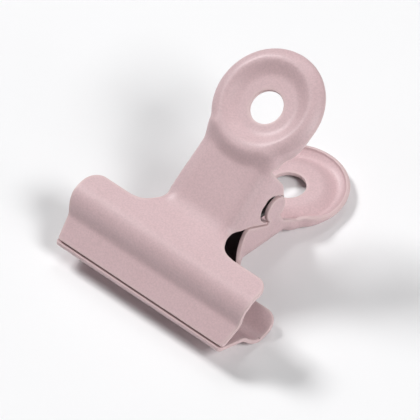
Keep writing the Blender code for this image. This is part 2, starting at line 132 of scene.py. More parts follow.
soft_box("left_soft_box", 178.0, 43.0, 0.28, 0.28, 7.2)
soft_box("right_soft_box", -6.0, 44.0, 0.36, 0.30, 5.7)
soft_box("low_right_soft_box", 0.0, 22.0, 0.30, 0.30, 1.0)
soft_box("rear_soft_box", 115.0, 55.0, 0.30, 0.30, 1.3)
soft_box("back_soft_box", 245.0, 50.0, 0.35, 0.35, 0.3)

ROOM_STRENGTH = 0.02
room = bpy.data.worlds.new("white room")
room.use_nodes = True
room.node_tree.nodes["Background"].inputs["Color"].default_value = linear("FFFFFF")
room.node_tree.nodes["Background"].inputs["Strength"].default_value = ROOM_STRENGTH
bpy.context.scene.world = room

# The photograph was taken from high on the right, from well away with a long lens. The place, the turn
# and the lens were fitted to the clip's outlines.
CAMERA_PLACE = (0.32703, -0.37172, 0.52764)
CAMERA_BACK = Vector((0.457601, -0.512936, 0.726291))
CAMERA_RIGHT = Vector((0.745238, 0.666797, 0.001380))
CAMERA_LENS = 465.45

camera_data = bpy.data.cameras.new("camera")
camera_data.sensor_width = 36.0
camera_data.lens = CAMERA_LENS
camera_data.clip_start = 0.01
camera_data.clip_end = 10.0
camera = new_object("camera", camera_data)
camera_up = CAMERA_BACK.cross(CAMERA_RIGHT)
camera_axes = Matrix((CAMERA_RIGHT, camera_up, CAMERA_BACK)).transposed().to_4x4()
camera.matrix_world = Matrix.Translation(CAMERA_PLACE) @ camera_axes
bpy.context.scene.camera = camera
bpy.context.scene.view_settings.view_transform = "Standard"

# ## Upper and lower plate
# Each plate is one blank of 0.6 mm steel sheet: blanked with its hole, pressed to its jaw, dish and ring,
# and folded down at its ears and rim. The lower one is the upper one turned over, with claws for sockets.

# Sizes in millimetres, in a side view with Y from the lips to the handle and Z up from the clip's middle
SHEET = 0.6
PIVOT_Y = 20.3

# The jaw, from the front: a lip strip, a steep wall behind its crease, and an arch that falls to the neck.
JAW_WIDTH = 31.0
JAW_DEPTH = 9.46
LIP_GAP = 0.07
LIP_SPARE = 1.0
UPPER_LIP_REACH = 0.2
LOWER_LIP_REACH = 0.75
LIP_LENGTH = 3.0
LIP_ANGLE = math.radians(24.0)
CREASE_RADIUS = 0.7
WALL_RUN = 1.68
WALL_ANGLE = math.radians(62.0)
ARCH_ANGLE = math.radians(11.5)
ARCH_RADIUS = 3.5
LIP_TAPER = 1.0
LIP_CORNER_RADIUS = 0.5
JAW_FLARE = 2.6
JAW_FLARE_RADIUS = 2.45
JAW_CORNER_RADIUS = 2.0

# The neck, whose sides fold down over a round shoulder, with a fillet at the jaw and one at the handle.
NECK_START = 12.2
NECK_RADIUS = 5.0
NECK_WIDTH = 12.7
NECK_TAPER = 0.35
SHOULDER_RADIUS = 2.6
REAR_EDGE_ROLL = 0.6
JAW_FILLET_RADIUS = 2.6
HANDLE_FILLET_RADIUS = 2.4
FOLD_FADE_START = 2.6
FOLD_FADE_LENGTH = 4.6

# The handle: a round pad, dished about its hole, with a raised ring whose outside turns down to a rim.
HANDLE_ANGLE = math.radians(15.3)
HANDLE_CENTRE = (28.3, 9.83)
HANDLE_RADIUS = 7.95
HOLE_RADIUS = 2.35
HOLE_SHIFT = 0.4
DISH_RADIUS = 3.9
BOWL_HEIGHT = 0.2
RING_RADIUS = 6.2
RING_CREST = 0.65
RING_FOOT_RADIUS = 8.9
RING_TOP = 0.8
RING_HEIGHT = 1.05
RING_DROP = 1.3
RIDGE_SHARPNESS = 0.25
RIDGE_POWER = 1.5
RIDGE_ROUNDING = 0.15
FLANK_LEAN = 1.0
RIM_WEB = 1.3

# The mesh's spacing along the sheet, and its steps round a bend, the ring and a cut edge's corners
STEP = 0.3
BEND_STEPS = 24
RING_STEPS = 56
EDGE_STEPS = 3
EDGE_CORNER_STEPS = 8


def turned(point, angle):
    """The side-view point (y, z) in axes turned by the angle, or back with a negative one."""
    y, z = point
    cos, sin = math.cos(angle), math.sin(angle)
    return y * cos + z * sin, z * cos - y * sin


def smooth(value):
    """A share from 0 to 1 that starts and ends gently."""
    value = np.clip(value, 0.0, 1.0)
    return value * value * (3.0 - 2.0 * value)


# A corner's rounding takes at most this share of the shorter line beside it, and a corner that is half
# this wide in radians needs none.
ROUNDING_ROOM = 0.62
NEARLY_STRAIGHT = 1.56


def rounded(corners, steps):
    """The points of an open line through (x, y, radius) corners, each rounded to its radius."""
    points = [np.array(corners[0][:2])]
    for before, corner, after in zip(corners, corners[1:], corners[2:]):
        centre = np.array(corner[:2])
        back = np.array(before[:2]) - centre
        ahead = np.array(after[:2]) - centre
        room = ROUNDING_ROOM * min(np.linalg.norm(back), np.linalg.norm(ahead))
        back = back / np.linalg.norm(back)
        ahead = ahead / np.linalg.norm(ahead)
        half = 0.5 * math.acos(max(-1.0, min(1.0, float(back @ ahead))))
        if corner[2] <= 0.0 or half > NEARLY_STRAIGHT:
            points.append(centre)
            continue
        length = min(corner[2] / math.tan(half), room)
        radius = length * math.tan(half)
        middle = centre + (back + ahead) / np.linalg.norm(back + ahead) * radius / math.sin(half)
        first = centre + back * length - middle
        last = centre + ahead * length - middle
        sweep = math.atan2(first[0] * last[1] - first[1] * last[0], first @ last)
        for step in range(steps + 1):
            cos, sin = math.cos(sweep * step / steps), math.sin(sweep * step / steps)
            spoke = (first[0] * cos - first[1] * sin, first[0] * sin + first[1] * cos)
            points.append(middle + np.array(spoke))
    points.append(np.array(corners[-1][:2]))
    return np.array(points)


def resampled(line, step):
    """The same line with points at most a step apart."""
    points = [line[0]]
    for start, end in zip(line, line[1:]):
        parts = max(1, math.ceil(np.linalg.norm(end - start) / step))
        points += [start + (end - start) * part / parts for part in range(1, parts + 1)]
    return np.array(points)


# The handle's own axes: its dished floor is level there, and the folds of ears and rim run straight down.
CENTRE_Y, FLOOR_Z = turned(HANDLE_CENTRE, HANDLE_ANGLE)
HINGE_Y, HINGE_Z = turned((PIVOT_Y, 0.0), HANDLE_ANGLE)
HOLE_Y = CENTRE_Y - HOLE_SHIFT
RIM_ROLL = HANDLE_RADIUS - RING_RADIUS
LIP_Z = SHEET + 0.5 * LIP_GAP
CREASE_Z = LIP_Z + LIP_LENGTH * math.tan(LIP_ANGLE)
ARCH = (LIP_LENGTH + WALL_RUN, CREASE_Z + WALL_RUN * math.tan(WALL_ANGLE))
FOOT_Z = FLOOR_Z + RING_TOP - RING_DROP
SIDE_LINE = rounded(
    [
        (-LIP_SPARE, LIP_Z - LIP_SPARE * math.tan(LIP_ANGLE), 0.0),
        (LIP_LENGTH, CREASE_Z, CREASE_RADIUS),
        (*ARCH, ARCH_RADIUS),
        (NECK_START, ARCH[1] - (NECK_START - ARCH[0]) * math.tan(ARCH_ANGLE), NECK_RADIUS),
        (*turned((CENTRE_Y - HANDLE_RADIUS, FOOT_Z), -HANDLE_ANGLE), NECK_RADIUS),
        (*turned((CENTRE_Y + HANDLE_RADIUS, FOOT_Z), -HANDLE_ANGLE), 0.0),
    ],
    BEND_STEPS,
)
REAR_EDGE_Y = turned((JAW_DEPTH, float(np.interp(JAW_DEPTH, *SIDE_LINE.T))), HANDLE_ANGLE)[0]
CREASE_Y = turned((LIP_LENGTH, CREASE_Z), HANDLE_ANGLE)[0]
PROFILE = np.array([turned(point, HANDLE_ANGLE) for point in SIDE_LINE])
FRONT_Y = turned((0.0, LIP_Z), HANDLE_ANGLE)[0]


def face_height(x, y):
    """Height of the outer face: the dish, its raised ring, and the ring's flank down to the neck."""
    sheet = np.interp(y, *PROFILE.T)
    radius = np.hypot(x, y - CENTRE_Y)
    bowl = BOWL_HEIGHT * np.minimum(radius / RING_RADIUS, 1.0) ** 2
    share = np.clip((radius - DISH_RADIUS) / (RING_RADIUS - DISH_RADIUS), 0.0, 1.0)
    climb = smooth(share) + RIDGE_SHARPNESS * (share**RIDGE_POWER - smooth(share))
    ring = FLOOR_Z + RING_TOP - RING_HEIGHT + bowl + (RING_HEIGHT - BOWL_HEIGHT) * climb
    flank = smooth((radius - RING_RADIUS - RING_CREST) / (RING_FOOT_RADIUS - RING_RADIUS - RING_CREST))
    return ring + (sheet - ring) * flank


def fold_line():
    """The line where the sheet starts to fold down, from the jaw's rear edge to the handle's tip.

    Each row holds its place (x, y), the outward direction (x, y), the fold's width and drop, and how
    much deeper than the fold the handle's rim hangs.
    """
    half = 0.5 * NECK_WIDTH
    rows = []

    def add(edge_x, edge_y, out, width, drop, web):
        """Add a row whose fold, seen from above, ends at the edge's place."""
        rows.append((edge_x - width * out[0], edge_y - width * out[1], *out, width, drop, web))

    def faded(way):
        """Width, drop and web at a way past the place where the neck's fold turns into the rim's."""
        mix = float(smooth(way / FOLD_FADE_LENGTH))
        width = SHOULDER_RADIUS + (RIM_ROLL - SHOULDER_RADIUS) * mix
        return width, SHOULDER_RADIUS + (RING_DROP - SHOULDER_RADIUS) * mix, RIM_WEB * mix

    corner_x = half + JAW_FILLET_RADIUS
    corner_y = REAR_EDGE_Y + REAR_EDGE_ROLL + JAW_FILLET_RADIUS
    for share in np.linspace(0.0, 1.0, BEND_STEPS + 1):
        out = (math.sin(share * 0.5 * math.pi), math.cos(share * 0.5 * math.pi))
        roll = REAR_EDGE_ROLL + (SHOULDER_RADIUS - REAR_EDGE_ROLL) * float(smooth(share))
        edge_x, edge_y = corner_x - JAW_FILLET_RADIUS * out[0], corner_y - JAW_FILLET_RADIUS * out[1]
        add(edge_x, edge_y, out, roll, roll, 0.0)
    reach = HANDLE_RADIUS + HANDLE_FILLET_RADIUS
    fillet_x = half - NECK_TAPER + HANDLE_FILLET_RADIUS
    fillet_y = CENTRE_Y - math.sqrt(reach**2 - fillet_x**2)
    join = math.acos(fillet_x / reach)
    for y in np.linspace(corner_y, fillet_y, round((fillet_y - corner_y) / STEP) + 1)[1:]:
        narrower = NECK_TAPER * float(smooth((y - corner_y) / (fillet_y - corner_y)))
        add(half - narrower, y, (1.0, 0.0), *faded(max(0.0, y - fillet_y + FOLD_FADE_START)))
    for share in np.linspace(0.0, 1.0, BEND_STEPS // 2)[1:]:
        out = (math.cos(share * join), -math.sin(share * join))
        edge_x, edge_y = fillet_x - HANDLE_FILLET_RADIUS * out[0], fillet_y - HANDLE_FILLET_RADIUS * out[1]
        add(edge_x, edge_y, out, *faded(FOLD_FADE_START + HANDLE_FILLET_RADIUS * join * share))
    for turn in np.linspace(-join, 0.5 * math.pi, RING_STEPS + 1)[1:]:
        out = (math.cos(turn), math.sin(turn))
        web = RIM_WEB * (1.0 - float(smooth((turn + join) / join)))
        add(HANDLE_RADIUS * out[0], CENTRE_Y + HANDLE_RADIUS * out[1], out, RIM_ROLL, RING_DROP, web)
    return np.array(rows)


FOLD = fold_line()
FOLD_RUN = np.concatenate([[0.0], np.cumsum(np.hypot(*np.diff(FOLD[:, :2], axis=0).T))])
NECK_ROWS = len(FOLD) - RING_STEPS
NECK_RUN = FOLD_RUN[:NECK_ROWS]
LEAN_START = FOLD_RUN[NECK_ROWS - BEND_STEPS // 2]
NECK_EDGE_Y = np.maximum.accumulate(FOLD[:NECK_ROWS, 1] + FOLD[:NECK_ROWS, 3] * FOLD[:NECK_ROWS, 4])


def fold_length(width, drop):
    """The length of sheet in a quarter turn of a width and a drop."""
    return 0.25 * math.pi * (width + drop)


def folded(run, down):
    """The place on the folded side, from the way along the fold line and the way down from it."""
    x, y, out_x, out_y, width, drop, _ = (np.interp(run, FOLD_RUN, column) for column in FOLD.T)
    length = fold_length(width, drop)
    share = np.minimum(down / length, 1.0)
    turn = share * 0.5 * math.pi
    sloped = (1.0 + RIDGE_ROUNDING) * share**2 / (share + RIDGE_ROUNDING)
    lean = FLANK_LEAN * smooth((run - LEAN_START) / FOLD_FADE_LENGTH)
    reach = width * np.sin(turn) / np.hypot(out_x, out_y)
    arched = 1.0 - np.cos(turn)
    fall = drop * (arched + lean * (sloped - arched)) + np.maximum(down - length, 0.0)
    return np.stack([x + out_x * reach, y + out_y * reach, face_height(x, y) - fall], -1)


def unfolded(y, z):
    """The way along and down the fold line of a place (y, z) on the side of the neck."""
    run = float(np.interp(y, NECK_EDGE_Y, NECK_RUN))
    fold_x, fold_y, _, _, width, drop, _ = (np.interp(run, FOLD_RUN, column) for column in FOLD.T)
    fall = float(face_height(fold_x, fold_y)) - z
    turn = math.acos(min(1.0, max(0.0, 1.0 - fall / drop)))
    return run, turn / (0.5 * math.pi) * fold_length(width, drop) + max(fall - drop, 0.0)


# The ears' edges about the hinge. The lower ear ends in a round claw on a short root, and the upper ear
# hooks under it: its socket is wider than the claw towards its back, and a nose stands behind it.
CLAW_RADIUS = 1.85
CLAW_NECK_WIDTH = 2.3
CLAW_ROOT = 4.0
CLAW_ROOT_RADIUS = 1.5
EAR_GAP = 0.1
SOCKET_RADIUS = CLAW_RADIUS + EAR_GAP
SOCKET_SLACK = 1.2
SOCKET_LEAN = math.radians(118.0)
HOOK_WIDTH = 0.4
HOOK_RADIUS = SOCKET_RADIUS + HOOK_WIDTH
HOOK_ANGLE = math.radians(192.0)
HOOK_ROUNDING = 0.4
NOSE_ANGLE = math.radians(-10.0)
NOSE_REACH = 3.05
NOSE_CHIN_HEIGHT = 1.6
NOSE_CHIN_RADIUS = 1.5
NOSE_CORNER_RADIUS = 0.12
NOSE_SHOULDER_RADIUS = 0.35
EAR_FRONT = 5.4
EAR_FRONT_ANGLE = math.radians(143.0)
EAR_CORNER_RADIUS = 0.6
ARC_POINTS = 61

# The folded side's edge before and behind the ear: the lug in front of the claw, the window in front of
# the hook, and the rim behind, which starts narrow and widens by its web along the neck.
EDGE_TURN = math.radians(50.0)
LUG_ROOT = (11.8, 0.7)
LUG_EDGE_ROWS = BEND_STEPS // 2
WINDOW_END = 14.0
WINDOW_RADIUS = 1.6
WINDOW_EDGE_ROWS = 2 * BEND_STEPS // 3
CLAW_REAR = 2.7
CLAW_RIM_GAP = 2.2
NOSE_RIM_GAP = 0.35
WEB_SHARE = 0.3


def neck_run(reach):
    """The way along the neck's fold to a place that far behind the hinge."""
    return float(np.interp(HINGE_Y + reach, NECK_EDGE_Y, NECK_RUN))


def about_hinge(radius, angle):
    """The place (y, z) at a distance and an angle from the hinge, in the handle's axes."""
    return HINGE_Y + radius * math.cos(angle), HINGE_Z + radius * math.sin(angle)


def other_plate(angle):
    """The same direction from the hinge, in the other plate's axes."""
    return 2.0 * math.pi - angle - 2.0 * HANDLE_ANGLE


def upper_ear():
    """The upper ear's edge, front to rear: down to the hook, round the socket and along the nose."""
    corners = [(*about_hinge(EAR_FRONT, EAR_FRONT_ANGLE), EAR_CORNER_RADIUS)]
    corners += [(*about_hinge(HOOK_RADIUS, HOOK_ANGLE), HOOK_ROUNDING * HOOK_WIDTH)]
    for angle in np.linspace(HOOK_ANGLE, NOSE_ANGLE, ARC_POINTS):
        radius = SOCKET_RADIUS + SOCKET_SLACK * max(0.0, math.cos(angle - SOCKET_LEAN)) ** 2
        corners += [(*about_hinge(radius, angle), 0.0)]
    corners[-1] = (*corners[-1][:2], NOSE_CORNER_RADIUS)
    corners += [(HINGE_Y + NOSE_REACH, HINGE_Z + NOSE_CHIN_HEIGHT, NOSE_CHIN_RADIUS)]
    return corners


def lower_ear():
    """The lower ear's edge, front to rear: up to the lug, down past the hook and round the claw."""
    lug = np.array(about_hinge(EAR_FRONT, other_plate(EAR_FRONT_ANGLE)))
    hook = np.array(about_hinge(HOOK_RADIUS, other_plate(HOOK_ANGLE)))
    along = (hook - lug) / np.linalg.norm(hook - lug)
    clear = EAR_GAP * np.array([-along[1], along[0]])
    pocket = other_plate(HOOK_ANGLE) - EAR_GAP / CLAW_RADIUS
    neck_rear = pocket - CLAW_NECK_WIDTH / CLAW_RADIUS
    corners = [(*(lug + clear), EAR_CORNER_RADIUS), (*(hook + clear + EAR_GAP * along), 0.0)]
    for angle in np.linspace(pocket, neck_rear + 2.0 * math.pi, ARC_POINTS):
        corners += [(*about_hinge(CLAW_RADIUS, angle), 0.0)]
    corners += [(*about_hinge(CLAW_ROOT, neck_rear), CLAW_ROOT_RADIUS)]
    return corners


def side_edge(ear, lower):
    """The folded side's cut edge, as ways along and down the fold line, from the jaw to the tip."""
    shares = np.linspace(0.0, 1.0, BEND_STEPS + 1)
    turns = EDGE_TURN * np.sin(0.5 * math.pi * shares) * FOLD[: BEND_STEPS + 1, 4]
    front = [(run, down, 0.0) for run, down in zip(FOLD_RUN, turns)]
    if lower:
        front = front[:LUG_EDGE_ROWS] + [(*unfolded(*turned(LUG_ROOT, HANDLE_ANGLE)), EAR_CORNER_RADIUS)]
    else:
        window_end = float(np.interp(turned((WINDOW_END, 0.0), HANDLE_ANGLE)[0], FOLD[:, 1], FOLD_RUN))
        front = front[:WINDOW_EDGE_ROWS] + [(window_end, front[-1][1], WINDOW_RADIUS)]
    sides = [(*unfolded(*corner[:2]), corner[2]) for corner in ear]
    start = EDGE_TURN * SHOULDER_RADIUS
    missing = fold_length(SHOULDER_RADIUS, SHOULDER_RADIUS) - start
    ring_run = FOLD_RUN[len(FOLD) - 1 - RING_STEPS]
    nose_run, claw_run = neck_run(NOSE_REACH), neck_run(CLAW_REAR)
    rim = [] if lower else [(nose_run, start, NOSE_SHOULDER_RADIUS)]
    for run, row in zip(FOLD_RUN, FOLD):
        length = fold_length(row[4], row[5]) + row[6]
        if lower and run > claw_run + CLAW_RIM_GAP:
            rim.append((run, length, 0.0))
        elif not lower and run > nose_run + NOSE_RIM_GAP:
            fade = 1.0 - float(smooth((run - nose_run) / (WEB_SHARE * (ring_run - nose_run))))
            rim.append((run, length - missing * fade, 0.0))
    return rounded(front + sides + rim, EDGE_CORNER_STEPS)


def inside(points, outline):
    """Which points lie inside a closed outline."""
    x, y = points[:, :1], points[:, 1:]
    ax, ay = outline.T
    bx, by = np.roll(outline, -1, axis=0).T
    spans = (ay > y) != (by > y)
    slope = (bx - ax) / np.where(by == ay, 1.0, by - ay)
    return (spans & (x < ax + (y - ay) * slope)).sum(1) % 2 == 1


# The grid's points keep this share of a step away from the outline.
GRID_MARGIN = 0.75


def finder(points):
    """A search through 3-D points for the one nearest to a place, with its row's number."""
    search = KDTree(len(points))
    for row, point in enumerate(points):
        search.insert(point, row)
    search.balance()
    return search


def meshed(outline):
    """Points and triangles that fill a closed outline, with a square grid of points inside it."""
    low, high = outline.min(0), outline.max(0)
    grid = np.stack(np.meshgrid(*(np.arange(a + 0.5 * STEP, b, STEP) for a, b in zip(low, high))), -1)
    grid = grid.reshape(-1, 2)
    grid = grid[inside(grid, outline)]
    edge = finder([(*point, 0.0) for point in outline])
    grid = np.array([point for point in grid if edge.find((*point, 0.0))[2] > GRID_MARGIN * STEP])
    points = [Vector(point) for point in np.concatenate([outline, grid])]
    result = delaunay_2d_cdt(points, [], [list(range(len(outline)))], 1, 1e-6)
    return np.array([tuple(point) for point in result[0]]), np.array([tuple(face) for face in result[2]])


def top_outline(lower):
    """Half of the plate seen from above, without the folded side."""
    front = FRONT_Y - (LOWER_LIP_REACH if lower else UPPER_LIP_REACH)
    half = 0.5 * JAW_WIDTH
    jaw = rounded(
        [
            (0.0, front, 0.0),
            (half - LIP_TAPER, front, LIP_CORNER_RADIUS),
            (half, CREASE_Y + JAW_FLARE, JAW_FLARE_RADIUS),
            (half, REAR_EDGE_Y, JAW_CORNER_RADIUS),
            (*FOLD[0, :2], 0.0),
        ],
        BEND_STEPS // 2,
    )
    turns = np.linspace(0.5 * math.pi, -0.5 * math.pi, RING_STEPS)
    hole = np.stack([HOLE_RADIUS * np.cos(turns), HOLE_Y + HOLE_RADIUS * np.sin(turns)], 1)
    behind = resampled(np.array([(0.0, FOLD[-1, 1]), (0.0, hole[0, 1])]), STEP)
    before = resampled(np.array([(0.0, hole[-1, 1]), (0.0, front)]), STEP)
    return np.concatenate([resampled(jaw, STEP), FOLD[1:-1, :2], behind[:-1], hole, before[1:-1]])


def side_outline(ear, lower):
    """The folded side laid flat: the fold line, the rim at the tip, and the cut edge back to the jaw."""
    edge = resampled(side_edge(ear, lower), STEP)[::-1]
    fold = np.stack([FOLD_RUN, np.zeros(len(FOLD_RUN))], 1)
    tip = resampled(np.array([(FOLD_RUN[-1], 0.0), edge[0]]), STEP)
    return np.concatenate([fold, tip[1:-1], edge[:-1]])


# The skin's normals are averaged with their neighbours' a few times. The cut edges are rounded, and the
# skin draws back towards them over a short way, less and less with the way from the edge.
NORMAL_PASSES = 3
EDGE_ROUNDING = 0.12
EDGE_PULL = 0.6


def unit(vectors):
    """The vectors, one to a row, at length 1."""
    return vectors / np.maximum(np.linalg.norm(vectors, axis=1, keepdims=True), 1e-12)


def skin_normals(places, faces, ends):
    """Each point's outward direction on a skin of triangles, averaged along the edges' ends."""
    corners = places[faces]
    facing = np.cross(corners[:, 1] - corners[:, 0], corners[:, 2] - corners[:, 0])
    normals = np.zeros_like(places)
    for corner in range(3):
        np.add.at(normals, faces[:, corner], facing)
    normals = unit(normals)
    for _ in range(NORMAL_PASSES):
        summed = normals.copy()
        np.add.at(summed, ends[:, 0], normals[ends[:, 1]])
        normals = unit(summed)
    return normals


def sheet_solid(places, faces):
    """The points and faces of a sheet from its outer skin: both skins and a cut edge with rounded corners.

    The skins' points come first, the outer one's and then the inner one's. The last result is the rows
    of the outer points that lie on the cut edge.
    """
    ends = np.concatenate([faces[:, [0, 1]], faces[:, [1, 2]], faces[:, [2, 0]]])
    normals = skin_normals(places, faces, ends)
    known = {tuple(end) for end in ends.tolist()}
    rim = np.array([end for end in ends.tolist() if (end[1], end[0]) not in known])
    ways = unit(np.cross(places[rim[:, 1]] - places[rim[:, 0]], normals[rim].mean(1)))
    outward = np.zeros_like(places)
    np.add.at(outward, rim[:, 0], ways)
    np.add.at(outward, rim[:, 1], ways)
    on_rim = np.unique(rim)
    out, up = unit(outward[on_rim]), normals[on_rim]
    out = unit(out - up * (out * up).sum(1, keepdims=True))
    edge = finder(places[on_rim])
    nearest = [edge.find(place) for place in places]
    pull = np.maximum(1.0 - np.array([found[2] for found in nearest]) / EDGE_PULL, 0.0)
    outer = places - out[[found[1] for found in nearest]] * (EDGE_ROUNDING * pull)[:, None]
    inner = outer - normals * SHEET
    rows = []
    for depth, first in ((EDGE_ROUNDING, 0.0), (SHEET - EDGE_ROUNDING, 0.5 * math.pi)):
        middle = outer[on_rim] - up * depth
        for turn in first + np.linspace(0.0, 0.5 * math.pi, EDGE_STEPS + 1):
            rows.append(middle + EDGE_ROUNDING * (out * math.sin(turn) + up * math.cos(turn)))
    count, size = len(places), len(on_rim)
    number = np.full(count, -1)
    number[on_rim] = np.arange(size)
    row_ids = [on_rim[number]]
    row_ids += [2 * count + number + size * row for row in range(len(rows) - 2)]
    row_ids += [count + on_rim[number]]
    walls = []
    for above, below in zip(row_ids, row_ids[1:]):
        a, b = rim.T
        walls += [np.stack([above[b], above[a], below[a]], 1), np.stack([above[b], below[a], below[b]], 1)]
    solid = np.concatenate([outer, inner, *rows[1:-1]])
    return solid, np.concatenate([faces, faces[:, ::-1] + count, *walls]), on_rim


# The two halves and the fold's two sides join where their points lie closer than this.
MERGE_DISTANCE = 0.002

# The photographed lower plate is a little out of true: its lips lie to the left and its ring to the
# right, about a place behind the lips, and its neck is a little shorter behind the claws.
SKEW = math.tan(math.radians(1.3))
SKEW_CENTRE_Y = 8.0
NECK_SHORTER = 0.45
NECK_SHORTER_RUN = 3.5

# Painted shade: the inside of the folded neck is painted much darker, and a little inside the jaw, standing
# in for the shade that falls there.
NECK_SHADE_START = 1.5
JAW_SHADE = 0.15

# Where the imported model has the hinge, and how far the clip tilts where it rests on the paper
HINGE_PLACE = (0.0, 0.8489 * MM, 8.4454 * MM)
REST_TILT = math.radians(14.3426)


def skin(ear, lower):
    """A plate's outer skin in the handle's axes: its face and folded sides, both halves in one."""
    top, top_faces = meshed(top_outline(lower))
    side, side_faces = meshed(side_outline(ear, lower))
    half = np.concatenate([np.column_stack([top, face_height(*top.T)]), folded(*side.T)])
    half_faces = np.concatenate([top_faces, side_faces[:, ::-1] + len(top)])
    places = np.concatenate([half, half * (-1.0, 1.0, 1.0)])
    faces = np.concatenate([half_faces, half_faces[:, ::-1] + len(half)])
    sheet = bmesh.new()
    vertices = [sheet.verts.new(place) for place in places]
    for face in faces:
        sheet.faces.new([vertices[corner] for corner in face])
    bmesh.ops.remove_doubles(sheet, verts=sheet.verts, dist=MERGE_DISTANCE)
    sheet.verts.index_update()
    places = np.array([vertex.co for vertex in sheet.verts])
    faces = np.array([[vertex.index for vertex in face.verts] for face in sheet.faces])
    sheet.free()
    return places, faces


def store(data, name, values):
    """Keep one number for each point of a mesh, for a material or a modifier to read."""
    data.attributes.new(name, "FLOAT", "POINT").data.foreach_set("value", values.astype(np.float32))


def plate_mesh(name, ear, lower):
    """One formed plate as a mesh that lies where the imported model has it."""
    places, faces = skin(ear, lower)
    if lower:
        places[:, 1] -= NECK_SHORTER * smooth((places[:, 1] - HINGE_Y - CLAW_ROOT) / NECK_SHORTER_RUN)
    solid, faces, on_rim = sheet_solid(places, faces)
    data = bpy.data.meshes.new(name)
    data.from_pydata(solid.tolist(), [], faces.tolist())
    edge_points = np.zeros(len(solid) - 2 * len(places))
    edge = finder(places[on_rim])
    distance = np.array([edge.find(place)[2] for place in places])
    store(data, "rim_distance", np.concatenate([distance, distance, edge_points]))
    # Painted shade: a mask over the inner skin in the neck, and a little in the jaw, that darkens the paint
    # where shade falls.
    neck = smooth((places[:, 1] - REAR_EDGE_Y) / NECK_SHADE_START)
    before_ring = smooth((CENTRE_Y - HANDLE_RADIUS - places[:, 1]) / NECK_SHADE_START)
    recess_shade = before_ring * np.maximum(neck, JAW_SHADE)
    store(data, "painted_recess_shade", np.concatenate([np.zeros(len(places)), recess_shade, edge_points]))
    data.transform(Matrix.Rotation(HANDLE_ANGLE, 4, "X") @ Matrix.Translation((0.0, -HINGE_Y, -HINGE_Z)))
    if lower:
        data.transform(Matrix.Diagonal((1.0, 1.0, -1.0, 1.0)))
        data.flip_normals()
        shear = Matrix.Translation((SKEW * (PIVOT_Y - SKEW_CENTRE_Y), 0.0, 0.0))
        shear[0][1] = SKEW
        data.transform(shear)
    data.transform(Matrix.Translation(HINGE_PLACE) @ Matrix.Rotation(REST_TILT, 4, "X") @ Matrix.Scale(MM, 4))
    data.shade_smooth()
    return data


# Pink powder paint, baked on over both plates before they are joined: even and satin, with a fine
# sprayed grain and a faint orange peel, and lighter over the last half millimetre to a cut edge. Its
# clouds are about 3.3 mm apart, its grain 0.25 mm and its peel 0.4 mm.
PAINT_PINK = "D4B8BB"
PAINT_CLOUD = "CFB2B5"
PAINT_EDGE = "D9C0C0"
# Painted shade: the dark colour mixed into the inside of the neck and jaw.
PAINTED_RECESS_SHADE = "463A3D"
CLOUDS_PER_METRE = 300.0
GRAINS_PER_METRE = 4000.0
GRAIN_CONTRAST = 0.06
PEEL_PER_METRE = 2500.0
PEEL_RELIEF = 0.03 * MM
EDGE_TINT_WIDTH = 0.5
EDGE_TINT_SHARE = 0.8

paint_material, tree, output = new_material("satin pink powder paint on steel")
place = add_node(tree, "ShaderNodeTexCoord").outputs["Object"]
cloud = add_node(tree, "ShaderNodeTexNoise", {}, {"Vector": place, "Scale": CLOUDS_PER_METRE, "Detail": 4.0})
tint = add_node(tree, "ShaderNodeMix", {"data_type": "RGBA"}, {
    0: cloud.outputs[0], 6: linear(PAINT_CLOUD), 7: linear(PAINT_PINK)})
grain = add_node(tree, "ShaderNodeTexNoise", {}, {"Vector": place, "Scale": GRAINS_PER_METRE, "Detail": 1.0})
grain_level = add_node(tree, "ShaderNodeMapRange", {}, {
    "Value": grain.outputs[0], "From Min": 0.3, "From Max": 0.7,
    "To Min": 1.0 - GRAIN_CONTRAST, "To Max": 1.0 + GRAIN_CONTRAST})
grained = add_node(tree, "ShaderNodeVectorMath", {"operation": "SCALE"}, {
    0: tint.outputs[2], "Scale": grain_level.outputs[0]})
distance = add_node(tree, "ShaderNodeAttribute", {"attribute_name": "rim_distance"})
thin = add_node(tree, "ShaderNodeMapRange", {}, {
    "Value": distance.outputs["Fac"], "From Min": 0.0, "From Max": EDGE_TINT_WIDTH,
    "To Min": EDGE_TINT_SHARE, "To Max": 0.0})
edge_tint = add_node(tree, "ShaderNodeMix", {"data_type": "RGBA"}, {
    0: thin.outputs[0], 6: grained.outputs[0], 7: linear(PAINT_EDGE)})
# Painted shade: the inner skin in the neck and jaw is mixed towards a dark colour, standing in for shade in
# the recess.
recess_shade = add_node(tree, "ShaderNodeAttribute", {"attribute_name": "painted_recess_shade"})
paint_with_recess_shade = add_node(tree, "ShaderNodeMix", {"data_type": "RGBA"}, {
    0: recess_shade.outputs["Fac"], 6: edge_tint.outputs[2], 7: linear(PAINTED_RECESS_SHADE)})
peel = add_node(tree, "ShaderNodeTexNoise", {}, {"Vector": place, "Scale": PEEL_PER_METRE, "Detail": 2.0})
dent = add_node(tree, "ShaderNodeBump", {}, {
    "Height": peel.outputs[0], "Strength": 0.15, "Distance": PEEL_RELIEF})
shader = add_node(tree, "ShaderNodeBsdfPrincipled", {}, {
    "Base Color": paint_with_recess_shade.outputs[2], "Roughness": 0.45, "Normal": dent.outputs[0]})
tree.links.new(shader.outputs[0], output.inputs["Surface"])

for body, ear, lower in (("upper", upper_ear(), False), ("lower", lower_ear(), True)):
    name = f"{body}_plate"
    plate = new_object(f"painted_{name}", plate_mesh(f"painted_{name}", ear, lower))
    plate.data.materials.append(paint_material)
    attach(plate, body)
    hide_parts(name)

# ## Torsion spring
# One piece of bright 0.8 mm music wire, coiled in nine turns across the clip between the ears. Its left
# leg presses on the lower handle and its right leg on the upper one, each with a short toe bent along it.

# Sizes in millimetres. The toes stand off the sheet by a clearance, where the real ones press on it.
WIRE = 0.8
LEG_CLEARANCE = 0.3
COIL_RADIUS = 2.2
COIL_LENGTH = 8.8
COIL_TURNS = 9
COIL_STEPS = 40
LEG_REACH = 6.4
LEG_TOE = 1.4
TOE_BEND_RADIUS = 0.8
TOE_BEND_STEPS = 8
WIRE_SIDES = 20


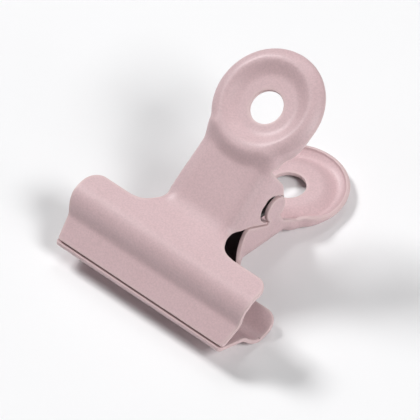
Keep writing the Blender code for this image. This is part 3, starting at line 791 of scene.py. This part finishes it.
def spring_path():
    """The wire's centre line about the hinge, and how far each of its points is bent, in millimetres."""
    toe_y = HINGE_Y + LEG_REACH
    toe_z = FLOOR_Z - SHEET - LEG_CLEARANCE - 0.5 * WIRE
    bend = [turned((y - HINGE_Y, toe_z - HINGE_Z), -HANDLE_ANGLE) for y in (toe_y, toe_y + LEG_TOE)]
    leaving = math.atan2(bend[0][1], bend[0][0]) + math.acos(COIL_RADIUS / math.hypot(*bend[0]))
    side = 0.5 * COIL_LENGTH
    sweep = 2.0 * (math.pi - leaving) + 2.0 * math.pi * COIL_TURNS
    shares = np.linspace(0.0, 1.0, round(COIL_TURNS * COIL_STEPS) + 1)
    turns = -leaving - sweep * shares
    across = side * (2.0 * shares - 1.0)
    coil = np.stack([across, COIL_RADIUS * np.cos(turns), COIL_RADIUS * np.sin(turns)], 1)
    lower = [(-side, y, -z) for y, z in reversed(bend)]
    upper = [(side, y, z) for y, z in bend]
    path = np.concatenate([lower, coil, upper])
    bends = np.zeros(len(path))
    bends[[1, -2]] = TOE_BEND_RADIUS
    return path, bends


# Drawn and polished music wire: bright, with fine draw lines that run along it and a faint brown oil
# film. The lines are 0.11 mm apart and 25 times as long as that, and the film's spots 2 mm.
WIRE_STEEL = "8E8C8A"
WIRE_OIL = "6F6862"
DRAW_LINES_PER_METRE = 9000.0
DRAW_LINE_STRETCH = 0.04
DRAW_LINE_RELIEF = 0.01 * MM
FILM_SPOTS_PER_METRE = 500.0

steel_material, tree, output = new_material("bright drawn spring steel")
drawn = add_node(tree, "ShaderNodeAttribute", {"attribute_name": "wire_place"}).outputs["Vector"]
stretched = add_node(tree, "ShaderNodeMapping", {}, {
    "Vector": drawn, "Scale": (DRAW_LINE_STRETCH, 1.0, 1.0)}).outputs[0]
lines = add_node(tree, "ShaderNodeTexNoise", {}, {
    "Vector": stretched, "Scale": DRAW_LINES_PER_METRE, "Detail": 3.0})
film = add_node(tree, "ShaderNodeTexNoise", {}, {
    "Vector": drawn, "Scale": FILM_SPOTS_PER_METRE, "Detail": 2.0})
film_share = add_node(tree, "ShaderNodeMapRange", {}, {
    "Value": film.outputs[0], "From Min": 0.45, "From Max": 0.75, "To Min": 0.0, "To Max": 0.5})
tint = add_node(tree, "ShaderNodeMix", {"data_type": "RGBA"}, {
    0: film_share.outputs[0], 6: linear(WIRE_STEEL), 7: linear(WIRE_OIL)})
rough = add_node(tree, "ShaderNodeMapRange", {}, {"Value": lines.outputs[0], "To Min": 0.28, "To Max": 0.45})
groove = add_node(tree, "ShaderNodeBump", {}, {
    "Height": lines.outputs[0], "Strength": 0.2, "Distance": DRAW_LINE_RELIEF})
shader = add_node(tree, "ShaderNodeBsdfPrincipled", {"label": "steel"}, {
    "Base Color": tint.outputs[2], "Metallic": 1.0, "Roughness": rough.outputs[0],
    "Normal": groove.outputs[0]})
tree.links.new(shader.outputs[0], output.inputs["Surface"])


def wire_tree(material):
    """Nodes that sweep a round wire along a line of edges, with its marked corners bent to a radius."""
    tree = bpy.data.node_groups.new("round wire", "GeometryNodeTree")
    tree.interface.new_socket("Geometry", in_out="INPUT", socket_type="NodeSocketGeometry")
    tree.interface.new_socket("Wire Diameter", in_out="INPUT", socket_type="NodeSocketFloat")
    tree.interface.new_socket("Sides", in_out="INPUT", socket_type="NodeSocketInt")
    tree.interface.new_socket("Geometry", in_out="OUTPUT", socket_type="NodeSocketGeometry")
    given = add_node(tree, "NodeGroupInput")
    bend = add_node(tree, "GeometryNodeInputNamedAttribute", {"data_type": "FLOAT"}, {"Name": "bend_radius"})
    line = add_node(tree, "GeometryNodeMeshToCurve", {}, {"Mesh": given.outputs["Geometry"]})
    bent = add_node(tree, "GeometryNodeFilletCurve", {"mode": "POLY"}, {
        "Curve": line.outputs[0], "Radius": bend.outputs[0], "Limit Radius": True, "Count": TOE_BEND_STEPS})
    way = add_node(tree, "GeometryNodeSplineParameter")
    measured = add_node(tree, "GeometryNodeCaptureAttribute", {}, {"Geometry": bent.outputs[0]})
    measured.capture_items.new("FLOAT", "Along")
    tree.links.new(way.outputs["Length"], measured.inputs["Along"])
    half = add_node(tree, "ShaderNodeMath", {"operation": "MULTIPLY"}, {
        0: given.outputs["Wire Diameter"], 1: 0.5})
    ring = add_node(tree, "GeometryNodeCurvePrimitiveCircle", {"mode": "RADIUS"}, {
        "Resolution": given.outputs["Sides"], "Radius": half.outputs[0]})
    place = add_node(tree, "GeometryNodeInputPosition")
    round_it = add_node(tree, "GeometryNodeCaptureAttribute", {}, {"Geometry": ring.outputs[0]})
    round_it.capture_items.new("VECTOR", "Round")
    tree.links.new(place.outputs[0], round_it.inputs["Round"])
    swept = add_node(tree, "GeometryNodeCurveToMesh", {}, {
        "Curve": measured.outputs["Geometry"], "Profile Curve": round_it.outputs["Geometry"],
        "Fill Caps": True})
    parts = add_node(tree, "ShaderNodeSeparateXYZ", {}, {0: round_it.outputs["Round"]})
    joined = add_node(tree, "ShaderNodeCombineXYZ", {}, {
        "X": measured.outputs["Along"], "Y": parts.outputs["X"], "Z": parts.outputs["Y"]})
    stored = {"data_type": "FLOAT_VECTOR", "domain": "POINT"}
    marked = add_node(tree, "GeometryNodeStoreNamedAttribute", stored, {
        "Geometry": swept.outputs[0], "Name": "wire_place", "Value": joined.outputs[0]})
    real = add_node(tree, "GeometryNodeRealizeInstances", {}, {"Geometry": marked.outputs[0]})
    dressed = add_node(tree, "GeometryNodeSetMaterial", {}, {
        "Geometry": real.outputs[0], "Material": material})
    end = add_node(tree, "NodeGroupOutput")
    tree.links.new(dressed.outputs[0], end.inputs["Geometry"])
    return tree


path, bends = spring_path()
path_mesh = bpy.data.meshes.new("spring_path")
path_mesh.from_pydata((path * MM).tolist(), [(index, index + 1) for index in range(len(path) - 1)], [])
store(path_mesh, "bend_radius", bends * MM)
path_mesh.transform(Matrix.Translation(HINGE_PLACE) @ Matrix.Rotation(REST_TILT, 4, "X"))
guide = new_object("spring_path", path_mesh)
sweep = guide.modifiers.new("round wire", "NODES")
sweep.node_group = wire_tree(steel_material)
for item in sweep.node_group.interface.items_tree:
    if item.in_out == "INPUT" and item.name in ("Wire Diameter", "Sides"):
        sweep[item.identifier] = WIRE * MM if item.name == "Wire Diameter" else WIRE_SIDES
bpy.context.view_layer.update()
wire_mesh = bpy.data.meshes.new_from_object(guide.evaluated_get(bpy.context.evaluated_depsgraph_get()))
bpy.data.objects.remove(guide)
wire_mesh.name = "wound_torsion_spring"
spring = new_object("wound_torsion_spring", wire_mesh)
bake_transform(spring)
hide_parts("torsion_spring")
